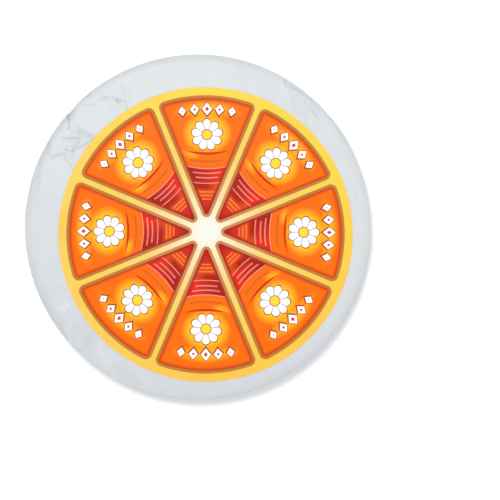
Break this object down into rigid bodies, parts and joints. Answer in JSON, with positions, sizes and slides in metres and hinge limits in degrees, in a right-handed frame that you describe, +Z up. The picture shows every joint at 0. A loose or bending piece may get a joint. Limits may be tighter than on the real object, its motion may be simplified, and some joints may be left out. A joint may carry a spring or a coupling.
{
  "type": "wrapped brie wheel",
  "caption": "Flat round soft-cheese wheel, shut in pleated white foil-backed paper, with a large round label printed in cutting sectors.",
  "frame": {"origin": "middle of the underside, on the surface that the wheel lies on", "axes": "+Z up out of the labelled face; +Y towards the top of the label as it is seen in the picture, +X to its right"},
  "size_m": [0.2398, 0.2398, 0.0275],
  "materials": {
    "wrap": "white foil-backed paper, satin, creased",
    "label": "varnished printed paper, orange panels in a yellow ring"
  },
  "bodies": {
    "root": {"wrapped_wheel": "wrap", "label": "label"}
  },
  "joints": []
}
